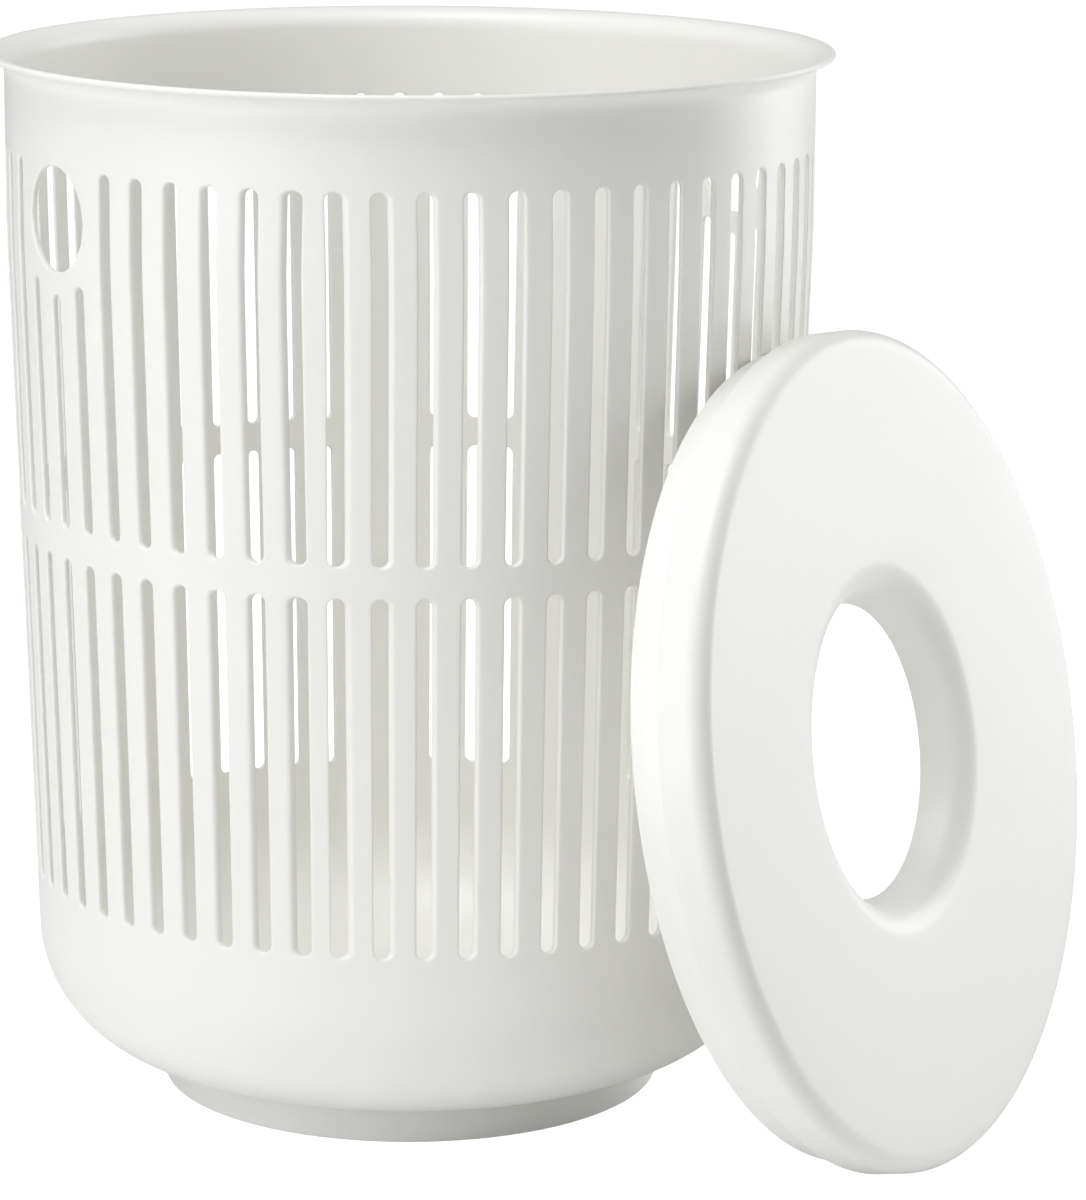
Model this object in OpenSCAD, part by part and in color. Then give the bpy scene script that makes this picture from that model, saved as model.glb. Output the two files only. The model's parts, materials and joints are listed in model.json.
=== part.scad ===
// Laundry hamper with a loose lid: a round, slotted, moulded basket on a foot ring,
// and a round lid with a finger hole that stands on the floor and leans on the basket.

/* [Basket] */
// Height from the floor to the top of the lip
basket_h = 500; // [460:1:620]
// Outside diameter of the lip
lip_d = 400; // [330:1:480]
// Thickness of the moulded wall
wall = 2.8; // [2:0.1:4]
// How far the lip stands out past the body
lip_flare = 9; // [6:0.5:12]
// Height of the straight band at the top of the body
band_h = 84; // [60:1:100]
// How much the body narrows on each side below the band, in mm per mm of height
taper = 0.0317; // [0.005:0.0001:0.06]
// Outer radius of the rounded lower corner
bowl_r = 62; // [40:1:75]
// Outside diameter of the foot ring
foot_d = 240; // [180:1:260]
// Height of the foot ring, which lifts the basket's underside off the floor
foot_h = 18; // [10:1:30]
// Thickness of the basket's floor
floor_t = 3.4; // [2.5:0.1:5]

/* [Slots] */
// Number of slots round the body
slot_count = 60; // [36:8:68]
// Width of a slot
slot_w = 6.8; // [5:0.1:8.2]
// Height of the lower row's lower ends above the floor
lower_z0 = 107.1; // [100:0.1:130]
// Length of the lower row's slots
lower_len = 167.1; // [130:0.1:200]
// Height of the plain band between the two rows
row_gap = 14.6; // [10:0.1:30]
// Distance from the top of the lip down to the upper row's upper ends
upper_drop = 43.6; // [30:0.1:60]

/* [Hand holes] */
// Diameter of the two round hand holes
hand_d = 48.4; // [40:0.1:58]
// Distance from the top of the lip down to the hand holes' centres
hand_drop = 67.8; // [56:0.1:80]
// Plain wall left between a hand hole and the slots under it
hand_gap = 10.5; // [6:0.1:16]

/* [Lid] */
// Height of the lid from its open rim to its shoulder
lid_h = 38.7; // [32:0.1:50]
// Height of the plug band that goes inside the basket's mouth
plug_h = 16.3; // [12:0.1:20]
// Thickness of the lid's wall
lid_wall = 2.6; // [2:0.1:3.5]
// Gap between the plug band and the basket's bore, all round
plug_gap = 1; // [0.5:0.1:2]
// How far the bulge stands out past the plug band
bulge_step = 5.8; // [4:0.1:8]
// Outer radius of the lid's shoulder
shoulder_r = 8.7; // [5:0.1:12]
// Slope of the lid's top, which falls from the shoulder to the finger hole, in degrees
dish_slope = 3.05; // [1:0.05:6]
// Diameter of the circle that the finger hole's rounded edge is centred on
hole_d = 174.6; // [120:0.1:240]
// Outer radius of that rounded edge
hole_r = 16; // [8:0.5:18]
// How much the collar narrows towards its rear edge, in degrees
collar_slope = 21.9; // [0:0.1:30]
// Height of the collar's rear edge above the lid's open rim
collar_s = 11.2; // [4:0.1:14]

/* [Leaning lid] */
// Direction in which the lid stands beside the basket, in degrees from +X
lean_az = -62.8; // [-75:0.1:-50]
// How far the lid leans back from upright, in degrees
lean = 11.07; // [6:0.01:16]
// Gap left where the lid leans on the basket
lean_gap = 0.3; // [0.2:0.05:1]

/* [Hidden] */
$fn = 96;
// How far a cutting shape runs past the surface that it cuts
past = 1;

// Outer radius of the body at a height: a straight band above a narrowing cone
body_r = lip_d / 2 - lip_flare;
cone_top = basket_h - band_h;
function body_at(z) = body_r - taper * max(0, cone_top - z);

// The lip is a quarter turn of the wall about a centre outside the body
lip_edge_r = wall / 2;
flare_r = lip_flare - lip_edge_r;
flare_x = body_r + flare_r;
flare_z = basket_h - wall - flare_r;

// The bowl corner's centre, and the foot ring's radius
bowl_z = foot_h + bowl_r;
bowl_x = body_at(bowl_z) - bowl_r;
foot_r = foot_d / 2;

// Slots: four sliding cores cut a quarter of them each, all along one direction
per_side = slot_count / 4;
slot_step = 360 / slot_count;
slot_r = slot_w / 2;
lower_z1 = lower_z0 + lower_len;
upper_z0 = lower_z1 + row_gap;
upper_z1 = basket_h - upper_drop;
core_in = body_r / 2;
core_len = lip_d / 2 + past - core_in;

// Hand holes, on the +X and -X sides
hand_z = basket_h - hand_drop;
hand_r = hand_d / 2;
keep_off = hand_r + hand_gap + slot_r;

// Lid: radii about its own axis, and heights above its open rim
plug_r = body_r - wall - plug_gap;
bulge_r = plug_r + bulge_step;
shoulder_x = bulge_r - shoulder_r;
shoulder_s = lid_h - shoulder_r;
hole_x = hole_d / 2;
lip_s = shoulder_s + (shoulder_r - hole_r) * cos(dish_slope)
    - (shoulder_x - hole_x - (shoulder_r - hole_r) * sin(dish_slope)) * tan(dish_slope);

// Leaning lid: the bulge's rear edge stands on the floor and the rim's top touches the body
lean_z = bulge_r * cos(lean) - plug_h * sin(lean);
touch_z = lean_z + plug_r * cos(lean);
lean_x = body_at(touch_z) + lean_gap + plug_r * sin(lean);

// Half section of the basket's body, moved in from its outer surface by t
module body_area(t) {
    translate([0, cone_top])
        square([body_r - t, flare_z + past - cone_top]);
    polygon([
        [0, bowl_z], [body_at(bowl_z) - t, bowl_z], [body_r - t, cone_top], [0, cone_top]
    ]);
    intersection() {
        translate([bowl_x, bowl_z])
            circle(bowl_r - t);
        square([body_r, bowl_z]);
    }
    translate([0, foot_h + t])
        square([bowl_x, bowl_r - t]);
}

// Half section of the rolled lip: a quarter ring with a rounded edge
module lip_area() {
    intersection() {
        translate([flare_x, flare_z])
            difference() {
                circle(flare_r + wall);
                circle(flare_r);
            }
        translate([0, flare_z])
            square([flare_x, basket_h]);
    }
    translate([flare_x, basket_h - lip_edge_r])
        circle(lip_edge_r);
}

// Half section of the whole moulding, without its slots
module basket_section() {
    difference() {
        body_area(0);
        intersection() {
            body_area(wall);
            translate([0, foot_h + floor_t])
                square([body_r, basket_h]);
        }
        translate([0, flare_z])
            square([lip_d, basket_h]);
    }
    lip_area();
    difference() {
        translate([foot_r - wall, 0])
            square([wall, bowl_z]);
        body_area(wall / 2);
    }
}

// Upper end of a slot of the upper row that is y to the side of a hand hole
function hand_limit(y) =
    abs(y) < keep_off ? hand_z - sqrt(keep_off * keep_off - y * y) + slot_r : upper_z1;

// One slot at an angle a from its core's direction; it follows the narrowing body
module slot(a, z0, z1) {
    low = [body_at(z0) * sin(a), z0 + slot_r];
    high = [body_at(z1) * sin(a), z1 - slot_r];
    run = high - low;
    rotate([90, 0, 90])
        translate([0, 0, core_in])
            linear_extrude(core_len)
                translate(low)
                    rotate(atan2(run[1], run[0])) {
                        translate([0, -slot_r])
                            square([norm(run), slot_w]);
                        circle(slot_r);
                        translate([norm(run), 0])
                            circle(slot_r);
                    }
}

// The slots that one sliding core cuts, and its hand hole where it has one
module core(with_hand) {
    for (i = [0 : per_side - 1]) {
        a = (i - (per_side - 1) / 2) * slot_step;
        top = with_hand ? min(upper_z1, hand_limit(body_r * sin(a))) : upper_z1;
        slot(a, lower_z0, lower_z1);
        slot(a, upper_z0, top);
    }
    if (with_hand)
        translate([core_in, 0, hand_z])
            rotate([0, 90, 0])
                cylinder(r = hand_r, h = core_len);
}

module basket() {
    color("white")
        difference() {
            rotate_extrude()
                basket_section();
            for (i = [0 : 3])
                rotate([0, 0, 90 * i])
                    core(i % 2 == 0);
        }
}

// Points of an arc about c, from angle a0 to a1
function arc(c, r, a0, a1, n = 16) =
    [for (i = [0 : n]) c + r * [cos(a0 + (a1 - a0) * i / n), sin(a0 + (a1 - a0) * i / n)]];

// The lid's surface from its open rim to the collar's rear edge, moved in by t
function lid_line(t) = concat(
    [
        [plug_r - t, 0],
        [plug_r - t, plug_h + t],
        [bulge_r - t, plug_h + t]
    ],
    arc([shoulder_x, shoulder_s], shoulder_r - t, 0, 90 + dish_slope),
    arc([hole_x, lip_s], hole_r - t, 90 + dish_slope, 180 - collar_slope),
    [[
        hole_x - (hole_r - t) / cos(collar_slope) - (lip_s - collar_s) * tan(collar_slope),
        collar_s
    ]]
);

// Points in the opposite order
function turned(points) = [for (i = [len(points) - 1 : -1 : 0]) points[i]];

module lid() {
    color("white")
        translate([lean_x * cos(lean_az), lean_x * sin(lean_az), lean_z])
            rotate([0, 90 - lean, lean_az])
                rotate_extrude()
                    polygon(concat(lid_line(0), turned(lid_line(lid_wall))));
}

basket();
lid();
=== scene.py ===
# %% [markdown]
# # A slotted laundry hamper and its leaning lid
# The hamper is a round plastic basket on a foot ring. Its wall has two rows of long slots and
# two hand holes, and a loose lid with a finger hole leans on its side. Both pieces come from
# an injection mould, so each is one thin shell with a rounded edge wherever two faces meet.

# %% Load the frame
import json
import math

import bmesh
import bpy
import numpy as np
from mathutils import Matrix, Vector


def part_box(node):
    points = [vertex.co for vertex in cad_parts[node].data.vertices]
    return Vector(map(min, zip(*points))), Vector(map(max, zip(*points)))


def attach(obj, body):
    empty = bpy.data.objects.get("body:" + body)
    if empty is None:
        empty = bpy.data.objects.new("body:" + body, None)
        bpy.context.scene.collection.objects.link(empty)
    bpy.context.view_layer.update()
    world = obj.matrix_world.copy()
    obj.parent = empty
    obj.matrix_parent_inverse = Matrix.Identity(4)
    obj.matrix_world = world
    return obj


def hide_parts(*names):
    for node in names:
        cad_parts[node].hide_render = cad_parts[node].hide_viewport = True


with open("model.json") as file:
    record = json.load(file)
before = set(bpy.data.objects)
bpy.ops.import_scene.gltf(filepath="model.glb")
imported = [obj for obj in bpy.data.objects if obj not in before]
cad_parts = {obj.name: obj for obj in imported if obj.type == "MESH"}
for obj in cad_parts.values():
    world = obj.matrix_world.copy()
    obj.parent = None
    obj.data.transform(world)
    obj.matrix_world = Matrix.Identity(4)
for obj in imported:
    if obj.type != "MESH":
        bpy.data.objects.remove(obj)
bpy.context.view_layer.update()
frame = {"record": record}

# %% [markdown]
# ## The basket's sizes
# The frame gives the height and the lip. The other sizes are the moulding's own, in metres:
# a straight band at the top, a body that narrows below it, and a round lower corner. The
# radius at a height is one line of arithmetic, so a function holds it.

# %% Sizes of the basket
MM = 0.001
basket_low, basket_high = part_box("basket")
basket_h = basket_high[2]
lip_r = (basket_high[0] - basket_low[0]) / 2
wall = 2.8 * MM
lip_flare = 9 * MM
body_r = lip_r - lip_flare
band_h = 84 * MM
cone_top = basket_h - band_h
taper = 0.0317
foot_r, foot_h, floor_t = 120 * MM, 18 * MM, 3.4 * MM
bowl_r = 62 * MM
bowl_z = foot_h + bowl_r


def body_at(z):
    """Outer radius at height z: body_r, less the taper times the depth below the band."""
    return body_r - taper * np.maximum(0, cone_top - z)


bowl_x = body_at(bowl_z) - bowl_r
print("basket", round(basket_h, 4), "high,", round(lip_r * 2, 4), "across the lip")

# %% [markdown]
# ## Surfaces on grids
# Every face of the moulding is a grid of points, and two helpers are enough to keep them. One
# turns a grid whose columns close into quads, by steps in each point's number. The other
# joins all the grids of a piece into one mesh, merges the points that neighbours share, and
# turns the faces outwards. A grid could also be built face by face, but whole arrays are
# quicker and keep the formula in sight.


# %% Grid helpers
def quads(rows, columns):
    """Corner numbers of each quad: point, next column, next column and row, next row."""
    row, column = np.meshgrid(np.arange(rows - 1), np.arange(columns), indexing="ij")
    here = row * columns + column
    right = row * columns + (column + 1) % columns
    return np.stack([here, right, right + columns, here + columns], -1).reshape(-1, 4)


def make_piece(name, grids):
    """A mesh object from grids of shape (many, rows, columns, 3) whose columns close."""
    points, faces, start = [], [], 0
    for grid in grids:
        many, rows, columns, _ = grid.shape
        one = quads(rows, columns)
        step = rows * columns
        shifts = start + step * np.arange(many)[:, None, None]
        points.append(grid.reshape(-1, 3))
        faces.append((one[None] + shifts).reshape(-1, 4))
        start += many * step
    mesh = bpy.data.meshes.new(name)
    mesh.from_pydata(np.concatenate(points), [], np.concatenate(faces))
    work = bmesh.new()
    work.from_mesh(mesh)
    bmesh.ops.remove_doubles(work, verts=work.verts, dist=0.01 * MM)
    bmesh.ops.dissolve_degenerate(work, edges=work.edges, dist=0.001 * MM)
    # Two neighbouring points on the axis leave a line with no faces
    on_axis = [edge for edge in work.edges if not edge.link_faces]
    bmesh.ops.delete(work, geom=on_axis, context="EDGES")
    bmesh.ops.recalc_face_normals(work, faces=work.faces)
    open_edges = sum(not edge.is_manifold for edge in work.edges)
    work.to_mesh(mesh)
    work.free()
    mesh.shade_smooth()
    piece = bpy.data.objects.new(name, mesh)
    bpy.context.scene.collection.objects.link(piece)
    print(name, len(mesh.polygons), "faces,", open_edges, "open edges")
    return piece


# %% [markdown]
# ## Profiles with rounded corners
# A moulding's section is a line of corners, each with its own radius. The rounding is a
# fillet: an arc that touches both lines, at a distance of r / tan(half the corner's angle)
# from the corner. The section then turns about the axis.


# %% Profile helpers
def rounded(corners, radii, steps, closed=False):
    """The corner line with an arc of the given radius at each corner."""
    corners = np.asarray(corners, float)
    count = len(corners)
    out = []
    for i, (corner, radius, n) in enumerate(zip(corners, radii, steps)):
        if radius == 0 or (not closed and i in (0, count - 1)):
            out.append(corner[None])
            continue
        to_last = corners[i - 1] - corner
        to_next = corners[(i + 1) % count] - corner
        to_last /= np.linalg.norm(to_last)
        to_next /= np.linalg.norm(to_next)
        half = math.acos(np.clip(to_last @ to_next, -1, 1)) / 2
        bisector = (to_last + to_next) / np.linalg.norm(to_last + to_next)
        centre = corner + bisector * radius / math.sin(half)
        first = corner + to_last * radius / math.tan(half) - centre
        turn = math.pi - 2 * half
        way = to_next - to_last
        side = np.sign(first[0] * way[1] - first[1] * way[0])
        angles = math.atan2(first[1], first[0]) + side * np.linspace(0, turn, n + 1)
        out.append(centre + radius * np.stack([np.cos(angles), np.sin(angles)], 1))
    return np.concatenate(out)


def filled(line, longest):
    """The same line with extra points, so that no stretch is longer than the longest."""
    out = [line[:1]]
    for a, b in zip(line[:-1], line[1:]):
        n = max(1, math.ceil(np.linalg.norm(b - a) / longest))
        out.append(a + (b - a) * np.linspace(0, 1, n + 1)[1:, None])
    return np.concatenate(out)


def revolve(line, columns):
    """Each point (r, z) of the line becomes a ring: (r cos u, r sin u, z)."""
    u = np.linspace(0, 2 * math.pi, columns, endpoint=False)
    r, z = line[:, :1], line[:, 1:]
    return np.stack([r * np.cos(u), r * np.sin(u), z + 0 * u], -1)[None]


# %% [markdown]
# ## The slots
# Four sliding cores cut the slots, one core for each quarter of the wall. A core moves along
# one straight line, so the side walls of all its slots are parallel to that line and not to
# the radius. In the core's own frame, with x along its travel, a slot is a long outline in y
# and z that is carried along x through the wall.
#
# The wall round one slot is a nest of rings. The first ring is the slot's share of the outer
# face, a patch six degrees wide. The next ones are the outline, moved out by a little, then
# the rounded edge, the slot's own wall, the inner edge, and the inner face's patch. Patches
# share their border points, so neighbours merge into one closed skin.

# %% Sizes of the slots
slot_count = 60
slot_r = 3.4 * MM
outer_edge = 1.0 * MM
inner_edge = 0.5 * MM
edge_margin = 0.5 * MM
lower_z0, lower_z1 = 107.1 * MM, 274.2 * MM
upper_z0, upper_z1 = 288.8 * MM, basket_h - 43.6 * MM
hand_z = basket_h - 67.8 * MM
hand_r = 24.2 * MM
hand_gap = 10.5 * MM
margin = 6 * MM
row_low = lower_z0 - margin
row_mid = (lower_z1 + upper_z0) / 2
row_high = upper_z1 + margin
hand_low = hand_z - hand_r - 2.2 * MM
slot_step = 2 * math.pi / slot_count
patch_columns = 6
per_core = slot_count // 4
core_angles = (np.arange(per_core) - (per_core - 1) / 2) * slot_step
print("slots per core", per_core, "at steps of", math.degrees(slot_step), "degrees")


# %% Border and outline of a patch
def border(centre, half_width, side_z, columns):
    """Angles and heights round a patch: up its right side, over, down and back."""
    across = np.linspace(half_width, -half_width, columns + 1)[1:-1]
    up = np.full(len(side_z), half_width)
    angle = centre + np.concatenate([up, across, -up, -across])
    top, low = np.full(len(across), side_z[-1]), np.full(len(across), side_z[0])
    return angle, np.concatenate([side_z, top, side_z[::-1], low])


def slot_outline(side_z, z0, z1, grow):
    """Offsets y and heights z round a slot: half circles joined by straight sides."""
    r = slot_r + grow
    corner = np.radians([45, 22.5, 0])
    right_y = np.concatenate([r * np.cos(corner), np.full(len(side_z) - 6, r), r * np.cos(corner)])
    low = z0 + slot_r - r * np.sin(corner)
    high = z1 - slot_r + r * np.sin(corner[::-1])
    right_z = np.concatenate([low, side_z[3:-3], high])
    right_y[-3:] = right_y[-3:][::-1]
    arc = np.radians(np.linspace(45, 135, patch_columns + 1)[1:-1])
    y = np.concatenate([right_y, r * np.cos(arc), -right_y[::-1], -r * np.cos(arc)])
    over, under = z1 - slot_r + r * np.sin(arc), z0 + slot_r - r * np.sin(arc)
    return y, np.concatenate([right_z, over, right_z[::-1], under])


# %% [markdown]
# The rings are laid in the core's frame. A point of the outer face at offset y and height z
# has x = sqrt(R(z)^2 - y^2), and the inner face has the same with R(z) less the wall. The
# rounded edge is a quarter circle: at angle f the outline is grown by e (1 - sin f) while x
# is e (1 - cos f) below the face.


# %% Rings of a patch
def on_face(y, z, inset):
    """Point of the wall's face at offset y and height z, as x, y, z in the core's frame."""
    r = body_at(z) - inset
    return np.stack([np.sqrt(r * r - y * y), y, z], -1)


def patch(angle, z, outline):
    """Rings through the wall: border, outline, edge, hole wall, inner edge, border."""
    rings = []
    for inset, edge, sign in ((0, outer_edge, -1), (wall, inner_edge, 1)):
        r = body_at(z) - inset
        side = [np.stack([r * np.cos(angle), r * np.sin(angle), z], -1)]
        y, height = outline(edge + edge_margin)
        side.append(on_face(y, height, inset))
        for f in np.radians([0, 30, 60, 90]):
            y, height = outline(edge * (1 - math.sin(f)))
            ring = on_face(y, height, inset)
            ring[:, 0] += sign * edge * (1 - math.cos(f))
            side.append(ring)
        rings += side if sign < 0 else side[::-1]
    return np.stack(rings)


def slot_patch(a, side_z, z0, z1):
    """A patch with one slot, whose middle line follows the narrowing body."""
    low_y, high_y = body_at(z0) * math.sin(a), body_at(z1) * math.sin(a)

    def outline(grow):
        y, z = slot_outline(side_z, z0, z1, grow)
        along = (z - z0 - slot_r) / (z1 - z0 - 2 * slot_r)
        return y + low_y + (high_y - low_y) * along, z

    angle, z = border(a, slot_step / 2, side_z, patch_columns)
    return patch(angle, z, outline)


def hand_patch(side_z):
    """A patch three slots wide, with the round hand hole in it."""
    angle, z = border(0, 1.5 * slot_step, side_z, 3 * patch_columns)
    way = np.arctan2(z - hand_z, body_r * np.sin(angle))

    def outline(grow):
        r = hand_r + grow
        return r * np.cos(way), hand_z + r * np.sin(way)

    return patch(angle, z, outline)


# %% [markdown]
# Two cores, on the left and right, also cut a hand hole. The slot under the hole stops a
# fixed distance below it, and so do the slots on both sides of that one, because the same
# distance is kept all round the hole.


# %% Patches of one core
lower_sides = np.concatenate([
    [row_low, lower_z0 + 1 * MM, lower_z0 + 3 * MM],
    np.linspace(lower_z0, lower_z1, 6)[1:-1],
    [lower_z1 - 3 * MM, lower_z1 - 1 * MM, row_mid],
])
under_hand = np.array([
    row_mid, upper_z0 + 1 * MM, upper_z0 + 3 * MM, upper_z0 + 30 * MM, upper_z0 + 60 * MM,
    upper_z0 + 90 * MM, upper_z0 + 105 * MM, hand_low,
])
beside_hand = np.array([
    hand_low, hand_z - 12 * MM, hand_z, hand_z + 12 * MM,
    upper_z1 - 3 * MM, upper_z1 - 1 * MM, row_high,
])
upper_sides = np.concatenate([under_hand, beside_hand[1:]])


def core_patches(with_hand):
    """All the patches that one core makes, each as a grid of rings."""
    keep_off = hand_r + hand_gap + slot_r
    out = []
    for a in core_angles:
        out.append(slot_patch(a, lower_sides, lower_z0, lower_z1))
        y = abs(body_r * math.sin(a))
        if with_hand and y < keep_off:
            top = hand_z - math.sqrt(keep_off ** 2 - y ** 2) + slot_r
            out.append(slot_patch(a, under_hand, upper_z0, top))
        else:
            out.append(slot_patch(a, upper_sides, upper_z0, upper_z1))
    if with_hand:
        out.append(hand_patch(beside_hand))
    return out


def turned(grid, quarter):
    """The grid turned about Z by a number of right angles."""
    x, y, z = np.moveaxis(grid, -1, 0)
    for _ in range(quarter):
        x, y = -y, x
    return np.stack([x, y, z], -1)


basket_grids = []
for quarter in range(4):
    for grid in core_patches(quarter % 2 == 0):
        basket_grids.append(turned(grid, quarter)[None])
print("patches", len(basket_grids))

# %% [markdown]
# ## The lip, the bowl and the foot
# Above the slots the wall is a plain turned band that flares into a rolled lip, a quarter
# turn about a centre outside the body. Below them it rounds into a bowl, drops into the foot
# ring and closes with a flat floor. Both are one profile each, turned with one column per
# degree, which is how finely the patches' borders are cut.

# %% Lip and bowl
columns = slot_count * patch_columns
flare_r = lip_flare - wall / 2
flare_x = body_r + flare_r
flare_z = basket_h - wall - flare_r


def arc(x, z, r, start, end, n):
    """Points of an arc about (x, z), with its angles in degrees."""
    f = np.radians(np.linspace(start, end, n + 1))
    return np.stack([x + r * np.cos(f), z + r * np.sin(f)], 1)


lip_line = np.concatenate([
    [[body_r, row_high], [body_r, flare_z - 4 * MM]],
    arc(flare_x, flare_z, flare_r, 180, 90, 10),
    arc(flare_x, basket_h - wall / 2, wall / 2, -90, 90, 8)[1:],
    arc(flare_x, flare_z, flare_r + wall, 90, 180, 12)[1:],
    [[body_r - wall, flare_z - 4 * MM], [body_r - wall, row_high]],
])

foot_edge = 1.0 * MM
foot_line = rounded(
    [
        [foot_r + 4 * MM, foot_h], [foot_r, foot_h], [foot_r, 0], [foot_r - wall, 0],
        [foot_r - wall, foot_h], [0, foot_h],
    ],
    [0, 1.2 * MM, foot_edge, foot_edge, 1.2 * MM, 0],
    [0, 5, 5, 5, 5, 0],
)
meet = math.degrees(math.asin((foot_r + 4 * MM - bowl_x) / bowl_r))
floor_top = foot_h + floor_t
floor_angle = math.degrees(math.asin((bowl_z - floor_top) / (bowl_r - wall)))
bowl_line = np.concatenate([
    [[body_at(row_low), row_low]],
    arc(bowl_x, bowl_z, bowl_r, 0, meet - 90, 22),
    filled(foot_line[1:], 20 * MM),
    filled(np.array([[0, floor_top], [bowl_x, floor_top]]), 20 * MM),
    arc(bowl_x, bowl_z, bowl_r - wall, -floor_angle, 0, 22),
    [[body_at(row_low) - wall, row_low]],
])

basket = make_piece("basket_moulding", basket_grids + [
    revolve(lip_line, columns), revolve(bowl_line, columns)
])
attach(basket, "hamper")
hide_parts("basket")

# %% [markdown]
# ## The lid
# The lid is a turned shell of even wall. From its open rim a plug band rises, the part that
# goes inside the basket's mouth. A small step leads out to a bulge, which would rest on the
# lip, then a round shoulder, a top that falls gently to the middle, and a wide rounded edge
# that turns down into the finger hole's collar. The inner face is the outer one moved in by
# the wall, which is each line of the profile shifted along its normal.

# %% Profile of the lid
lid_wall = 2.6 * MM
lid_h, plug_h = 38.7 * MM, 16.3 * MM
plug_gap = 1.0 * MM
plug_r = body_r - wall - plug_gap
bulge_step = 5.8 * MM
bulge_r = plug_r + bulge_step
shoulder_r, hole_edge_r = 8.7 * MM, 16 * MM
hole_x = 87.3 * MM
collar_s = 11.2 * MM
dish_slope, collar_slope = math.radians(3.05), math.radians(21.9)
shoulder_x, shoulder_s = bulge_r - shoulder_r, lid_h - shoulder_r


def crossing(a, way_a, b, way_b):
    """Point where the line through a along way_a meets the line through b along way_b."""
    t, _ = np.linalg.solve(np.stack([way_a, -np.asarray(way_b)], 1), np.subtract(b, a))
    return np.asarray(a) + t * np.asarray(way_a)


def moved_in(corners, t):
    """The corner line with each of its lines shifted by t to its left."""
    ways = np.diff(corners, axis=0)
    ways /= np.linalg.norm(ways, axis=1)[:, None]
    shifted = corners[:-1] + t * np.stack([-ways[:, 1], ways[:, 0]], 1)
    inner = [
        crossing(shifted[i - 1], ways[i - 1], shifted[i], ways[i]) for i in range(1, len(ways))
    ]
    first = crossing(shifted[0], ways[0], corners[0], (1, 0))
    last = crossing(shifted[-1], ways[-1], corners[-1], (1, 0))
    return np.stack([first] + inner + [last])


top_way = np.array([-math.cos(dish_slope), -math.sin(dish_slope)])
top_normal = np.array([-math.sin(dish_slope), math.cos(dish_slope)])
collar_way = np.array([math.sin(collar_slope), math.cos(collar_slope)])
collar_normal = np.array([-math.cos(collar_slope), math.sin(collar_slope)])
top_point = np.array([shoulder_x, shoulder_s]) + shoulder_r * top_normal
hole_fall = (shoulder_x - hole_x - (shoulder_r - hole_edge_r) * math.sin(dish_slope))
lip_s = (shoulder_s + (shoulder_r - hole_edge_r) * math.cos(dish_slope)
         - hole_fall * math.tan(dish_slope))
collar_point = np.array([hole_x, lip_s]) + hole_edge_r * collar_normal
outer_corners = np.stack([
    [plug_r, 0], [plug_r, plug_h], [bulge_r, plug_h],
    crossing(top_point, top_way, (bulge_r, 0), (0, 1)),
    crossing(top_point, top_way, collar_point, collar_way),
    crossing(collar_point, collar_way, (0, collar_s), (1, 0)),
])
inner_corners = moved_in(outer_corners, lid_wall)
small = 0.8 * MM
lid_line = rounded(
    np.concatenate([outer_corners, inner_corners[::-1]]),
    [small, small, small, shoulder_r, hole_edge_r, small,
     small, hole_edge_r - lid_wall, shoulder_r - lid_wall, small, small, small],
    [4, 4, 4, 14, 20, 4, 4, 16, 10, 4, 4, 4],
    closed=True,
)
print("lid", round(bulge_r * 2, 4), "across,", round(lid_h, 4), "high")

# %% [markdown]
# The lid stands on the bulge's rear edge and leans back on the basket. Its axis is the axis
# of the joint that lifts it off, and the middle of its open rim follows from the two places
# where it touches. The lean is given to the mesh itself, so the object stays unturned.

# %% Lean the lid on the basket
lift = frame["record"]["behaviour"]["joints"][0]
lid_axis = np.array(lift["axis"], float)
lid_axis /= np.linalg.norm(lid_axis)
out_way = np.array([lid_axis[0], lid_axis[1], 0]) / math.hypot(lid_axis[0], lid_axis[1])
lean_cos, lean_sin = lid_axis @ out_way, lid_axis[2]
lean_gap = 0.3 * MM
rim_z = bulge_r * lean_cos - plug_h * lean_sin
rim_out = float(body_at(rim_z + plug_r * lean_cos)) + lean_gap + plug_r * lean_sin
rim_centre = out_way * rim_out + np.array([0, 0, rim_z])


def stand(grid):
    """Turns a grid from its own upright axis to the lid's, and carries it into place."""
    side = np.cross([0, 0, 1], out_way)
    up = np.cross(lid_axis, side)
    return grid @ np.stack([up, side, lid_axis]) + rim_centre


lid_columns, longest_step = 240, 12 * MM
closed_line = np.concatenate([lid_line, lid_line[:1]])
lid = make_piece("lid_moulding", [stand(revolve(filled(closed_line, longest_step), lid_columns))])
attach(lid, "lid")
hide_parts("lid")
print("lid leans", round(math.degrees(math.asin(lean_sin)), 2), "degrees")

# %% [markdown]
# ## The plastic
# Both pieces are moulded polypropylene in off-white. Its index of refraction is 1.49. The
# mould was fine-blasted, which gives the part a soft satin gloss and a grain of about a third
# of a millimetre, and the melt leaves very faint broad waves in the wall. Light goes a few
# millimetres into the plastic, which lifts its shaded sides a little.


# %% Material helpers
def linear(hex_colour):
    """An sRGB hex colour as linear red, green, blue and alpha."""
    out = []
    for i in (1, 3, 5):
        c = int(hex_colour[i:i + 2], 16) / 255
        out.append(c / 12.92 if c <= 0.04045 else ((c + 0.055) / 1.055) ** 2.4)
    return (*out, 1.0)


def add(tree, kind, links=None, sockets=None, **settings):
    """One node with its settings, its socket values and its links."""
    node = tree.nodes.new(kind)
    for key, value in settings.items():
        setattr(node, key, value)
    for key, value in (sockets or {}).items():
        node.inputs[key].default_value = value
    for key, source in (links or {}).items():
        tree.links.new(source, node.inputs[key])
    return node


# %% Moulded polypropylene
GRAIN = 0.35 * MM
WAVE = 60 * MM


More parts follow.
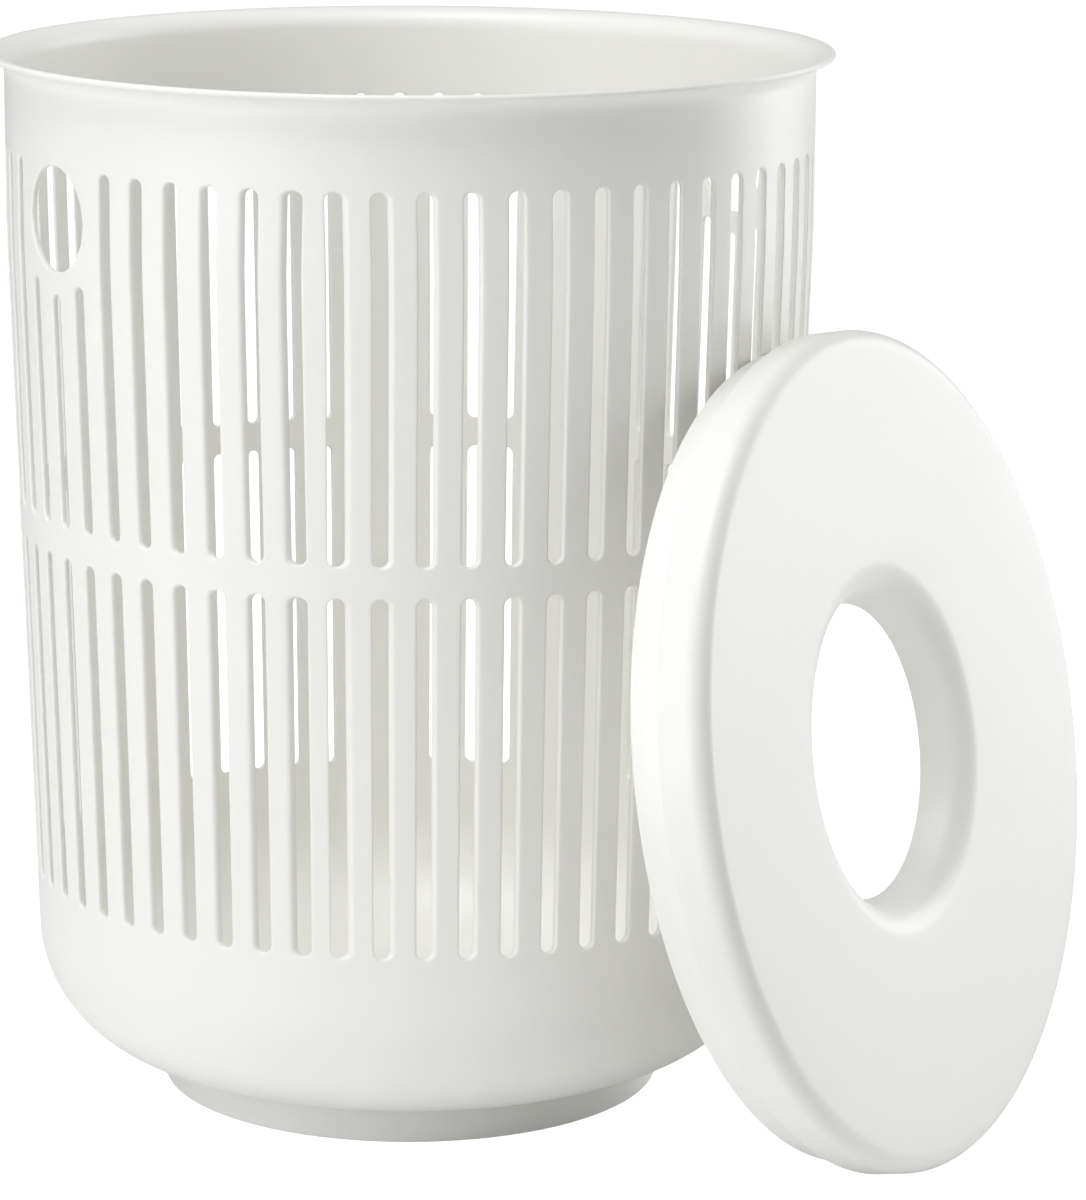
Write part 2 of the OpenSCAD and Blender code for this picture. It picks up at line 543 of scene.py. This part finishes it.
def moulded_polypropylene(name, light, dark):
    """Satin off-white plastic with a blasted grain and faint flow waves."""
    material = bpy.data.materials.new(name)
    material.use_nodes = True
    tree = material.node_tree
    tree.nodes.clear()
    place = add(tree, "ShaderNodeTexCoord").outputs["Object"]
    waves = add(tree, "ShaderNodeTexNoise", {"Vector": place},
                {"Scale": 1 / WAVE, "Detail": 3.0, "Roughness": 0.45})
    grain = add(tree, "ShaderNodeTexNoise", {"Vector": place},
                {"Scale": 1 / GRAIN / 2, "Detail": 2.0, "Roughness": 0.6})
    tint = add(tree, "ShaderNodeMix", {"Factor": waves.outputs["Fac"]}, data_type="RGBA")
    tint.inputs[6].default_value = linear(dark)
    tint.inputs[7].default_value = linear(light)
    gloss = add(tree, "ShaderNodeMapRange", {"Value": waves.outputs["Fac"]},
                {"To Min": 0.36, "To Max": 0.44})
    slow = add(tree, "ShaderNodeBump", {"Height": waves.outputs["Fac"]},
               {"Strength": 0.12, "Distance": 0.4 * MM})
    fine = add(tree, "ShaderNodeBump",
               {"Height": grain.outputs["Fac"], "Normal": slow.outputs["Normal"]},
               {"Strength": 0.18, "Distance": 0.02 * MM})
    skin = add(tree, "ShaderNodeBsdfPrincipled",
               {"Base Color": tint.outputs[2], "Roughness": gloss.outputs["Result"],
                "Normal": fine.outputs["Normal"]},
               {"IOR": 1.49, "Subsurface Weight": 0.12, "Subsurface Scale": 2 * MM,
                "Subsurface Radius": (1.0, 0.85, 0.65)})
    add(tree, "ShaderNodeOutputMaterial", {"Surface": skin.outputs["BSDF"]})
    return material


for piece, name, light, dark in (
    (basket, "moulded_polypropylene_basket", "#F7F6F2", "#F4F3EF"),
    (lid, "moulded_polypropylene_lid", "#F7F6F2", "#F4F3EF"),
):
    piece.data.materials.clear()
    piece.data.materials.append(moulded_polypropylene(name, light, dark))
    print("material", name)

# %% [markdown]
# ## The studio
# A plain white floor, and a plain white room round it. Both are brighter where they are seen
# directly, so they look white to the edge and that brightness doesn't reach the object. A wide
# soft light on the left does most of the work, a second one behind on the right draws the far
# edges, one above reaches into the basket, and the room fills the rest.

# %% Floor and room
floor_mesh = bpy.data.meshes.new("studio_floor")
reach = 12.0
floor_mesh.from_pydata(
    [(-reach, -reach, 0), (reach, -reach, 0), (reach, reach, 0), (-reach, reach, 0)],
    [], [(0, 1, 2, 3)],
)
studio_floor = bpy.data.objects.new("studio_floor", floor_mesh)
bpy.context.scene.collection.objects.link(studio_floor)

paper = bpy.data.materials.new("white_studio_paper")
paper.use_nodes = True
paper_skin = paper.node_tree.nodes["Principled BSDF"]
paper_skin.inputs["Base Color"].default_value = linear("#FBFBFB")
paper_skin.inputs["Roughness"].default_value = 0.9
paper_skin.inputs["Specular IOR Level"].default_value = 0.0
paper_skin.inputs["Emission Color"].default_value = (1, 1, 1, 1)
seen = add(paper.node_tree, "ShaderNodeLightPath").outputs["Is Camera Ray"]
PAPER_GLOW = 0.85
lit_paper = add(
    paper.node_tree, "ShaderNodeMath", {0: seen}, {1: PAPER_GLOW}, operation="MULTIPLY"
)
paper.node_tree.links.new(lit_paper.outputs[0], paper_skin.inputs["Emission Strength"])
floor_mesh.materials.append(paper)

room = bpy.data.worlds.new("white_room")
room.use_nodes = True
room.node_tree.nodes["Background"].inputs["Color"].default_value = (1, 1, 1, 1)
ROOM_LIGHT = 0.25
in_sight = add(room.node_tree, "ShaderNodeLightPath").outputs["Is Camera Ray"]
room_strength = add(room.node_tree, "ShaderNodeMapRange", {"Value": in_sight},
                    {"To Min": ROOM_LIGHT, "To Max": 1.0})
room.node_tree.links.new(
    room_strength.outputs["Result"], room.node_tree.nodes["Background"].inputs["Strength"]
)
bpy.context.scene.world = room
bpy.context.scene.view_settings.view_transform = "Standard"

# %% [markdown]
# ## Camera and lights
# The camera stands 2.3 m away and looks slightly down, as a long lens does in a studio. Each
# light is placed by its angle from the camera, which keeps the light in step with the view.

# %% Camera
camera_data = bpy.data.cameras.new("camera")
camera_data.lens = 144.0
camera_data.sensor_width = 36.0
camera_data.shift_y = -0.1
camera_data.clip_start, camera_data.clip_end = 0.05, 60
camera = bpy.data.objects.new("camera", camera_data)
bpy.context.scene.collection.objects.link(camera)
camera.rotation_mode = "XYZ"
camera.location = (-1.2014, -1.9141, 0.7402)
heading, tilt, roll = math.radians(-33.72), math.radians(11.22), math.radians(0.317)
camera.rotation_euler = (
    Matrix.Rotation(heading, 3, "Z")
    @ Matrix.Rotation(math.pi / 2 - tilt, 3, "X")
    @ Matrix.Rotation(roll, 3, "Z")
).to_euler("XYZ")
bpy.context.scene.camera = camera

# %% Lights
view_angle = math.atan2(camera.location[1], camera.location[0])


def softbox(name, angle, height, away, size, power, colour):
    """A square soft light, at an angle to the right of the camera, aimed at the object."""
    data = bpy.data.lights.new(name, "AREA")
    data.shape = "SQUARE"
    data.size, data.energy, data.color = size, power, colour
    light = bpy.data.objects.new(name, data)
    bpy.context.scene.collection.objects.link(light)
    a = view_angle + math.radians(angle)
    light.location = (away * math.cos(a), away * math.sin(a), height)
    aim = Vector((0, 0, basket_h / 2))
    light.rotation_euler = (light.location - aim).to_track_quat("Z", "Y").to_euler()
    return light


softbox("key_softbox", -50, 0.9, 2.4, 1.8, 25, (0.97, 0.984, 1.0))
softbox("right_softbox", 115, 0.7, 2.2, 1.4, 25, (0.975, 0.988, 1.0))
softbox("top_softbox", -30, 2.5, 0.7, 1.3, 30, (0.98, 0.99, 1.0))
